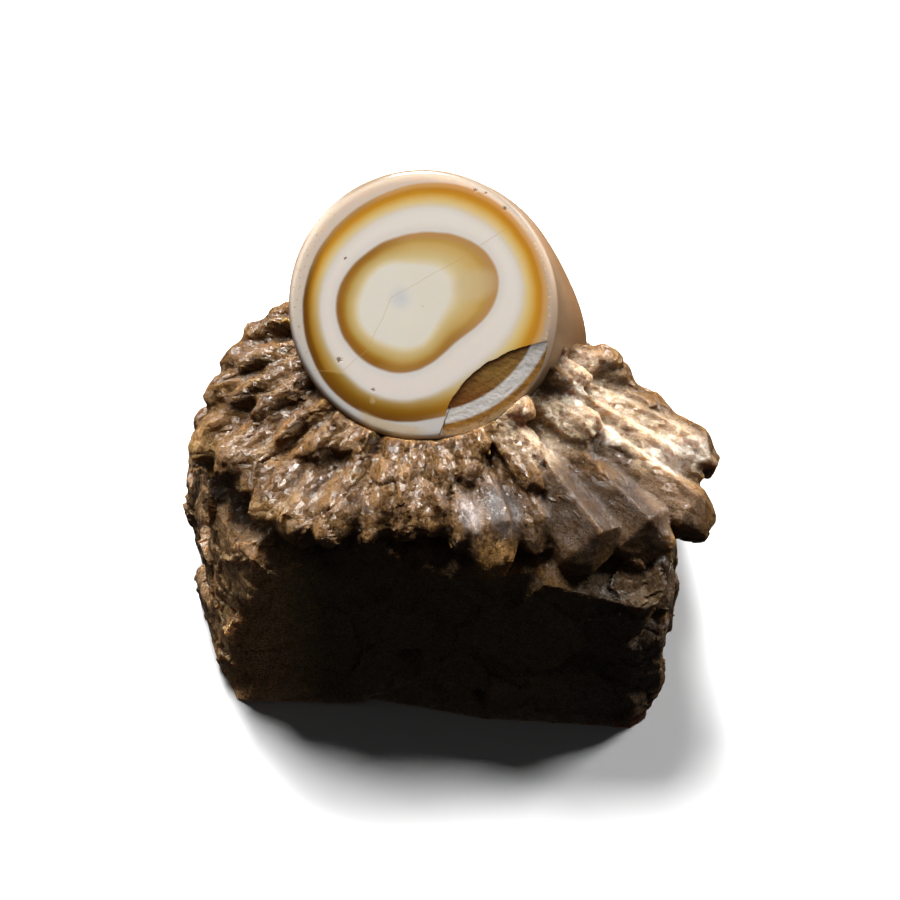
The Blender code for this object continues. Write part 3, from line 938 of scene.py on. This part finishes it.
quartz_material = quartz_finish()
quartz.data.materials.clear()
quartz.data.materials.append(quartz_material)
blades = lay_blades(quartz, quartz_material)
for shard in list(shards.objects):
    bpy.data.objects.remove(shard)
bpy.data.collections.remove(shards)
print("quartz finish:", len(quartz_material.node_tree.nodes), "nodes")
print("blades:", len(blades.data.polygons), "faces")

# %% [markdown]
# ## The onyx eye
#
# The eye is a turned shape, so it is made ring by ring from half an outline: the flat face, a small rounding
# at the rim, the wall and a rounded rear. On its lower right the wall swells, as on the solid. A Screw
# modifier would turn it too, but here each point is moved a little as it is made, for the swelling and the
# waves of hand polishing.

# %% The turned column
RIM_ROUNDING = 0.8
REAR_ROUNDING = 5.0
EYE_SEGMENTS = 256
FACE_RING_STEP = 0.45
WALL_RING_STEP = 0.5
POLISHING_WAVE = 0.006


def quarter_round(centre, radius, first_angle, steps):
    """Points round a quarter circle, clockwise from an angle in degrees."""
    for step in range(steps + 1):
        turn = math.radians(first_angle - 90.0 * step / steps)
        yield centre[0] + radius * math.cos(turn), centre[1] + radius * math.sin(turn)


def eye_outline():
    """Half of the column's outline, from beside the middle of its face round to its rear."""
    face_edge = EYE_RADIUS - RIM_ROUNDING
    for across in np.arange(FACE_RING_STEP, face_edge - 0.1, FACE_RING_STEP):
        yield float(across), 0.0
    yield from quarter_round((face_edge, -RIM_ROUNDING), RIM_ROUNDING, 90.0, 8)
    for depth in np.arange(RIM_ROUNDING + WALL_RING_STEP, EYE_DEPTH - REAR_ROUNDING, WALL_RING_STEP):
        yield EYE_RADIUS, -float(depth)
    yield from quarter_round((EYE_RADIUS - REAR_ROUNDING, REAR_ROUNDING - EYE_DEPTH), REAR_ROUNDING, 0.0, 10)
    yield EYE_RADIUS / 3, -EYE_DEPTH


def swollen(point):
    """A point of the column, moved out where the wall swells, with the slight waviness of hand polishing."""
    swelling = wall_swelling(point.x, point.y, point.z) / EYE_RADIUS
    across = Vector((point.x, point.y, 0.0))
    wave = POLISHING_WAVE * noise.noise(point / 6.0) * min(1.0, across.length / 10.0)
    return point + across * (swelling + wave)


def turned_column():
    outline = list(eye_outline())
    rows = len(outline)
    places = [Vector((0.0, 0.0, 0.0))]
    for across, height in outline:
        for segment in range(EYE_SEGMENTS):
            turn = 2.0 * math.pi * segment / EYE_SEGMENTS
            places.append(swollen(Vector((across * math.cos(turn), across * math.sin(turn), height))))
    places.append(Vector((0.0, 0.0, -EYE_DEPTH)))
    faces = []
    for segment in range(EYE_SEGMENTS):
        here, after = segment + 1, (segment + 1) % EYE_SEGMENTS + 1
        faces.append((0, here, after))
        for row in range(rows - 1):
            upper, lower = row * EYE_SEGMENTS, (row + 1) * EYE_SEGMENTS
            faces.append((upper + here, lower + here, lower + after, upper + after))
        last = (rows - 1) * EYE_SEGMENTS
        faces.append((last + after, last + here, len(places) - 1))
    mesh = bpy.data.meshes.new("onyx_eye_polished")
    mesh.from_pydata([mm(*(EYE_MATRIX @ place)) for place in places], [], faces)
    return new_object("onyx_eye_polished", mesh)


eye = turned_column()
print("turned column:", len(eye.data.polygons), "faces")

# %% [markdown]
# A flattened ball cuts the chip out, because a Boolean leaves the crisp edge that a real chip has. The ball
# is far larger than the chip: only its side reaches into the face. Its radius shrinks a little towards the
# lower end of the chip, and fine ripples run round the place where the stone was struck, as on all glassy
# stones. The faces that the cut leaves get the second finish, because a fracture was never polished.

# %% The chip
CHIP_CENTRE = Vector((21.2, -22.9, 0.0))
CHIP_RADIUS = 21.8
CHIP_NARROWING = 0.0035
CHIP_DEPTH = 0.5
CHIP_BLOW = Vector((13.5, -9.5, 0.0))
RIPPLE_SPACING = 1.1
RIPPLE_HEIGHT = 0.012
RAGGED_EDGE = 0.18
RAGGED_FLOOR = 0.03
EYE_CRISP_ANGLE = 32.0


def chip_ball():
    bm = bmesh.new()
    bmesh.ops.create_uvsphere(bm, u_segments=420, v_segments=120, radius=1.0)
    for vertex in bm.verts:
        direction = vertex.co.copy()
        turn = math.atan2(direction.y, direction.x)
        ragged = RAGGED_EDGE * noise.fractal(Vector((math.cos(turn), math.sin(turn), 0.0)) * 9.0, 0.8, 2.0, 5)
        radius = CHIP_RADIUS - CHIP_NARROWING * min(40.0, max(0.0, math.degrees(turn) - 126.0)) ** 2 + ragged
        place = CHIP_CENTRE + Vector((direction.x * radius, direction.y * radius, direction.z * CHIP_DEPTH))
        ripple = math.sin(2.0 * math.pi * (place - CHIP_BLOW).length / RIPPLE_SPACING)
        roughness = RAGGED_FLOOR * noise.fractal(place / 1.6, 1.0, 2.0, 3)
        place.z += (RIPPLE_HEIGHT * ripple + roughness) * min(1.0, abs(place.z) / 0.4)
        vertex.co = mm(*(EYE_MATRIX @ place))
    for face in bm.faces:
        face.material_index = 1
    return new_object("chip_ball", finished_mesh(bm, "chip_ball"))


def break_chip_out(column):
    ball = chip_ball()
    for piece in (column, ball):
        for number in range(2):
            piece.data.materials.append(bpy.data.materials.new(f"stand_in_{number}"))
    apply_modifier(column, "BOOLEAN", operation="DIFFERENCE", object=ball, solver="EXACT")
    bpy.data.objects.remove(ball)
    column.data.shade_smooth()
    column.data.set_sharp_from_angle(angle=math.radians(EYE_CRISP_ANGLE))


break_chip_out(eye)
broken_faces = sum(face.material_index == 1 for face in eye.data.polygons)
print("faces left by the chip:", broken_faces)

# %% [markdown]
# ## The bands of the eye
#
# Each band ends at a rounded but uneven ring. A ring is written as a centre, a mean radius and a few waves
# round it, which is how a turner would describe a shape that is nearly round. The distance to each ring then
# decides the colour: amber starts sharply at its outer ring and fades inwards to white. The pattern lives in
# the eye's own frame, which a Mapping node works out from the place and the tilt of the face.

# %% Rings and colours of the bands
# The centre of a ring, its mean radius, and the cosine and sine waves with two, three and four turns round
# it.
RINGS = {
    "amber_outside": ((0.2, 0.3), 13.61, (0.12, 0.57, 0.15, -0.07, 0.05, -0.13)),
    "amber_inside": ((-0.3, 0.4), 11.16, (0.13, 0.78, 0.14, 0.17, 0.14, -0.01)),
    "pupil_outside": ((-0.9, 0.6), 8.27, (0.38, 1.09, 0.07, 0.37, 0.08, 0.14)),
    "pupil_core": ((-1.8, 0.1), 5.41, (0.13, 0.5, -0.1, 0.28, -0.12, 0.18)),
}
RIM_WARM = pigment(228, 214, 197)
RIM_COOL = pigment(222, 216, 210)
# Painted shade for the upper edge of the rim.
RIM_EDGE_SHADE = pigment(116, 98, 78)
RIM_TAN = pigment(206, 180, 156)
CORE_BLUE = pigment(226, 226, 226)
MILK = pigment(253, 241, 230)
WALL_TAN = pigment(162, 129, 96)
WALL_BROWN = pigment(140, 101, 64)
# Painted shade for the top of the wall.
WALL_TOP_SHADE = pigment(138, 116, 94)
STAIN = pigment(206, 178, 132)
LOBE_TAN = pigment(226, 204, 162)
HAIR_YELLOW = pigment(206, 172, 110)
CRACK_DARK = pigment(84, 58, 38)
DIRT = pigment(132, 92, 58)
RIM_FLECK = pigment(236, 210, 158)
WALL_EARTH = pigment(120, 82, 48)

# Marks on the face, by their places across and up it. A pit also has a radius, and a spot a length and a
# width.
HAIRLINE = (
    (8.6, 9.9), (4.7, 6.6), (-0.2, 2.9), (-3.5, 0.3), (-5.0, -4.0), (-5.4, -5.5), (-7.9, -8.3), (-12.1, -8.8),
    (-13.2, -8.7),
)
RIM_CRACK = ((4.6, -10.9), (4.3, -12.2), (3.9, -13.6), (3.5, -15.0))
PITS = (
    (-9.2, 4.25, 0.2), (-8.5, -7.2, 0.3), (-4.3, -10.1, 0.22), (4.5, 13.5, 0.2), (5.6, 13.3, 0.18),
    (8.0, 11.9, 0.2), (0.2, -0.1, 0.07),
)
STAIN_PLACE = ((-4.2, -11.2), 0.35, 0.5)
LOBE = ((5.7, 3.0), 2.6, 1.9)
LOBE_LEAN = 27.0
CORE_MIDDLE = (-2.5, 0.55, 0.0)
FAR_AWAY = 100.0

# How amber fades inwards, from its outer ring at 0 to its inner ring at 1 / FADING_REACH. The bright list is
# painted light for the upper right of the eye and the dark one painted shade for its lower left. Below the
# hairline the dark list is also the stone's own darker amber.
FADING_REACH = 1.3
AMBER_STOPS = (0.0, 0.12, 0.23, 0.35, 0.46, 0.58, 0.69, 0.79, 0.93)
AMBER_BRIGHT = (
    (220, 178, 124), (222, 172, 100), (212, 148, 50), (220, 158, 46), (230, 182, 88), (238, 204, 128),
    (240, 216, 156), (240, 222, 190), (241, 232, 222),
)
AMBER_DARK = (
    (128, 88, 40), (126, 80, 27), (132, 86, 18), (142, 97, 22), (154, 110, 30), (170, 130, 54),
    (186, 152, 86), (212, 192, 156), (243, 236, 229),
)
# The pupil's bright list is painted light for its upper right, and the dark one painted shade for its left
# and bottom.
PUPIL_STOPS = (0.0, 0.12, 0.23, 0.35, 0.46, 0.69, 0.81, 0.95)
PUPIL_BRIGHT = (
    (206, 160, 106), (207, 160, 98), (210, 168, 88), (224, 187, 114), (228, 194, 127), (232, 210, 153),
    (242, 223, 181), (249, 239, 222),
)
PUPIL_DARK = (
    (165, 122, 70), (164, 114, 46), (172, 116, 42), (192, 142, 54), (208, 174, 94), (232, 206, 148),
    (243, 226, 187), (250, 242, 227),
)


def length_of(right, above):
    return (right * right + above * above) ** 0.5


def distance_to_ring(bench, across, up, ring):
    """How far a point of the face lies outside a ring. It is negative inside."""
    (centre_across, centre_up), edge, waves = RINGS[ring]
    right = across - centre_across
    above = up - centre_up
    angle = bench.math("ARCTAN2", above, right)
    for number, height in enumerate(waves):
        edge = height * bench.math(("COSINE", "SINE")[number % 2], angle * float(2 + number // 2)) + edge
    return length_of(right, above) - edge


def fading(bench, outside, inside, lit, stops, *sides):
    """A band's colour between its two rings, from its dark side where lit is 0 to its bright one at 1."""
    depth = (0 - outside) / ((inside - outside) * FADING_REACH)
    ramps = [bench.ramp(depth, list(zip(stops, [pigment(*colour) for colour in side]))) for side in sides]
    return bench.blend(lit, *ramps)


def eye_place(bench):
    """A point of the eye in the face's own frame, in millimetres."""
    inputs = {
        "Vector": bench.node("ShaderNodeTexCoord", None, None, "Object"),
        "Location": mm(*EYE_CENTRE),
        "Rotation": EYE_ROTATION,
        "Scale": (MILLIMETRE,) * 3,
    }
    return bench.node("ShaderNodeMapping", {"vector_type": "TEXTURE"}, inputs)


def shaken(bench, place, scale, reach):
    """A place of the face, moved about across it by clouds, which makes a line crooked."""
    first, second = [reach * (spot.clouds(scale, 3.0) - 0.5) for spot in (place, place + 17.0)]
    return place + bench.node("ShaderNodeCombineXYZ", None, {0: first, 1: second})


def from_line(bench, place, corners):
    """How far a point of the face lies from a line through these corners."""
    nearest = FAR_AWAY
    for start, end in zip(corners, corners[1:]):
        run = Vector((end[0] - start[0], end[1] - start[1], 0.0))
        offset = place - (*start, 0.0)
        reach = bench.vector("DOT_PRODUCT", offset, run, output="Value")
        share = bench.node("ShaderNodeClamp", None, {"Value": reach / run.length_squared})
        foot = bench.node("ShaderNodeVectorMath", {"operation": "SCALE"}, {0: run, "Scale": share})
        nearest = bench.math("MINIMUM", nearest, bench.distance(offset, foot))
    return nearest


def rim_crack(bench, place):
    """The share and the colour of the dark crack through the rim, which also shows in the chip."""
    return 0.85 * from_line(bench, shaken(bench, place, 1.5, 0.3), RIM_CRACK).rise(0.13, 0.04), CRACK_DARK


def in_spot(bench, across, up, middle, length, width, lean=0.0):
    """1 inside an oval spot on the face that leans by this many degrees, and 0 outside it."""
    turn = math.radians(lean)
    right = across - middle[0]
    above = up - middle[1]
    along = (right * math.cos(turn) + above * math.sin(turn)) / length
    beside = (above * math.cos(turn) - right * math.sin(turn)) / width
    return length_of(along, beside).rise(1.25, 0.55)


def pits(bench, place):
    """1 inside the small pits of the face, whose edges are uneven."""
    ragged = shaken(bench, place, 4.0, 0.7)
    most = 0.0
    for across, up, radius in PITS:
        distance = bench.distance(ragged, (across, up, 0.0))
        most = bench.largest(most, distance.rise(radius * 1.25, radius * 0.6))
    return most


def with_marks(bench, place, colour):
    """The hair-thin healed crack, the stains, the pits and the dirt that lie over the bands."""
    across, up, _ = place.split()
    out = length_of(across, up)
    patchy = place.clouds(1.6, 5.0, 0.7).rise(0.3, 0.65)
    low_rim = out.rise(13.3, 13.8) * across.rise(-6.0, -4.5) * across.rise(3.0, 0.5)
    left_rim = out.rise(13.2, 14.4) * across.rise(-9.5, -12.0)
    right_rim = out.rise(14.1, 14.4) * out.rise(14.75, 14.5) * across.rise(8.0, 12.0)
    return bench.coats(
        colour,
        (0.55 * in_spot(bench, across, up, *LOBE, LOBE_LEAN), LOBE_TAN),
        (0.75 * patchy * in_spot(bench, across, up, *STAIN_PLACE), STAIN),
        ((0.35 + 0.4 * patchy) * low_rim * up.rise(-8.0, -11.0), STAIN),
        (0.3 * from_line(bench, shaken(bench, place, 0.3, 0.8), HAIRLINE).rise(0.09, 0.02), HAIR_YELLOW),
        rim_crack(bench, place),
        (0.85 * pits(bench, place), DIRT),
        (0.7 * left_rim * place.clouds(2.4, 3.0, 0.7).rise(0.6, 0.68), DIRT),
        (0.7 * right_rim * place.clouds(3.5, 2.0).rise(0.52, 0.6), RIM_FLECK),
    )


def rim_colour(bench, across, up, out):
    """The pale rim outside the bands, warm above, cool below, tan on the right, with painted shade on the top
    of its edge and earth low on the left.
    """
    low_edge = (across + 0.8 * up).rise(-4.0, -10.0)
    return bench.coats(
        bench.blend(up.rise(0.0, -11.0), RIM_WARM, RIM_COOL),
        (across.rise(7.0, 13.0), RIM_TAN),
        # Painted shade along the upper edge of the rounding.
        (0.95 * out.rise(14.3, 15.0) * up.rise(4.0, 13.0), RIM_EDGE_SHADE),
        (0.7 * out.rise(14.6, 15.1) * low_edge, WALL_EARTH),
    )


def banded_colour(bench, place):
    """The bands as they show on the polished face."""
    wobble = 0.22 * (place.clouds(0.35, 2.0) - 0.5)
    across, up, _ = place.split()
    distances = [distance_to_ring(bench, across, up, ring) + wobble for ring in RINGS]
    amber_out, amber_in, pupil_out, core = distances
    out = length_of(across, up)
    far = bench.largest(out, 1.0)
    # Painted light and shade: the amber is lighter towards the upper right and darker towards the lower left.
    # The hairline parts a brighter amber above it from a darker one below, which is the stone's own colour.
    lit_side_and_hairline = ((0.6 * across + 0.8 * up) / far).rise(-1.0, 0.05)
    below_hair = up.rise(-8.55, -8.85) * across.rise(0.0, -4.0)
    left = (1 - below_hair) * across.rise(-4.0, -9.0)
    at_edge = (0 - amber_out).rise(1.1, 0.3)
    lit_side_and_hairline = lit_side_and_hairline * (1 - 0.85 * below_hair) + left * (0.4 - 0.7 * at_edge)
    amber = fading(bench, amber_out, amber_in, lit_side_and_hairline, AMBER_STOPS, AMBER_DARK, AMBER_BRIGHT)
    milky = (0 - amber_in).rise(0.0, 1.2) * pupil_out.rise(0.0, 1.2)
    # Painted light and shade: the pupil is darker towards the left and the bottom.
    lit = 1 - 0.9 * ((0 - across) / far).rise(0.2, 0.9) - 0.6 * ((0 - up) / far).rise(-0.1, 0.8)
    pupil = fading(bench, pupil_out, core, lit, PUPIL_STOPS, PUPIL_DARK, PUPIL_BRIGHT)
    colour = bench.coats(
        rim_colour(bench, across, up, out),
        (amber_out.rise(0.12, -0.2), bench.blend(milky, amber, MILK)),
        (pupil_out.rise(0.16, -0.24), pupil),
        (0.8 * bench.distance(place, CORE_MIDDLE).rise(1.9, 0.0), CORE_BLUE),
    )
    # Painted light: the face is a little lighter towards its top and darker towards its bottom.
    return with_marks(bench, place, bench.shaded(0.96 + up * 0.004, colour))


print("rings of the eye:", list(RINGS))

# %% [markdown]
# The polished finish wraps the face and the wall of the column: the bands end where the rim turns over, and
# the wall is plain and beige, with faint streaks along it. The broken finish is for the faces inside the
# chip, where the bands go on at a slant below the surface. Both let light in a little way, which makes onyx
# look milky.

# %% Onyx finishes
# Painted shade for the edge of the chip.
CHIP_EDGE_SHADE = pigment(96, 56, 28)
CHIP_AMBER = pigment(158, 120, 62)
CHIP_RED = pigment(124, 70, 30)
CHIP_BAND = pigment(224, 218, 212)
CHIP_RIM = pigment(160, 114, 48)
CHIP_QUARTZ = pigment(176, 146, 108)
BAND_WIDTH = 1.8
ONYX_SPREAD = (1.0, 0.8, 0.55)
CHIP_BUMP = 0.0002


def wall_colour(bench, place, across, up, height):
    """Beige above and browner below, with earth towards the quartz, painted shade on top and streaks along
    the column.
    """
    low = (height + 4.0 * place.clouds(0.25, 4.0) - 2.0).rise(-1.0, -11.0)
    wall = bench.coats(
        bench.blend(low, WALL_TAN, WALL_BROWN),
        ((across + 0.6 * up).rise(-3.0, -10.0), WALL_EARTH),
        # Painted shade on the top of the wall, which faces the light.
        ((up / EYE_RADIUS).rise(0.5, 0.95), WALL_TOP_SHADE),
    )
    drag = (place * (1.0, 1.0, 0.15)).clouds(1.6, 4.0, 0.7)
    return bench.shaded(0.8 + 0.4 * drag, bench.shaded(1 - 0.35 * up.rise(1.0, -7.0), wall))


def onyx_finish():
    material, bench = new_finish("polished_onyx")
    place = eye_place(bench)
    across, up, height = place.split()
    wall = wall_colour(bench, place, across, up, height)
    colour = bench.blend(height.rise(-0.35, -0.75), banded_colour(bench, place), wall)
    scratches = place.clouds(6.0, 2.0)
    pitted = pits(bench, place)
    worn_rim = length_of(across, up).rise(14.1, 14.7) * across.rise(-2.0, 5.0)
    dull = bench.largest(worn_rim, height.rise(-0.3, -1.0))
    roughness = 0.1 + 0.06 * scratches + 0.5 * pitted + 0.28 * dull
    bump = bench.bump(0.015 * scratches - 0.05 * pitted)
    bench.show(bench.stone(colour, roughness, bump, (0.5, ONYX_SPREAD, 2.0)))
    return material


def broken_onyx_finish():
    material, bench = new_finish("broken_onyx")
    place = eye_place(bench)
    across, up, height = place.split()
    # Painted shade: the chip is dark along its edge, where it meets the face.
    edge = (height + 0.04 * place.clouds(1.2, 4.0)).rise(-0.02, -0.14)
    streaks = (place * (0.4, 1.6, 1.0)).clouds(1.3, 4.0)
    brown = bench.shaded(0.75 + 0.5 * streaks, bench.blend(0.8 * up.rise(-6.0, -10.0), CHIP_AMBER, CHIP_RED))
    into_band = length_of(across, up) - 12.0 - 0.13 * (up + 11.0) + 0.1 * place.clouds(1.0, 3.0)
    dots = place.clouds(2.2, 2.0).rise(0.56, 0.64) * into_band.rise(BAND_WIDTH, BAND_WIDTH + 0.3)
    colour = bench.coats(
        bench.blend(edge, CHIP_EDGE_SHADE, brown),
        (into_band.rise(0.0, 0.5), CHIP_RIM),
        (0.8 * into_band.rise(BAND_WIDTH + 0.5, BAND_WIDTH + 1.0), CHIP_QUARTZ),
        (into_band.rise(-0.1, 0.25) * into_band.rise(BAND_WIDTH + 0.2, BAND_WIDTH - 0.25), CHIP_BAND),
        (0.8 * dots, DIRT),
        rim_crack(bench, place),
    )
    fine = place.clouds(2.0, 4.0)
    bump = bench.bump(fine, CHIP_BUMP, 0.4)
    bench.show(bench.stone(colour, 0.15 + 0.2 * fine, bump, (0.5, ONYX_SPREAD, 1.0)))
    return material


eye.data.materials[0] = onyx_finish()
eye.data.materials[1] = broken_onyx_finish()
print("finishes of the eye:", [material.name for material in eye.data.materials])

# %% [markdown]
# ## The pieces and their body
#
# Every piece rides on the one body of the part. The eye and the rock stand for the two solids, which are
# hidden, and the blades are extra.

# %% Bodies
for piece, slot in ((eye, "onyx"), (quartz, "quartz"), (blades, "quartz")):
    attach(piece, "root")
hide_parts("onyx_eye")
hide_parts("quartz_matrix")
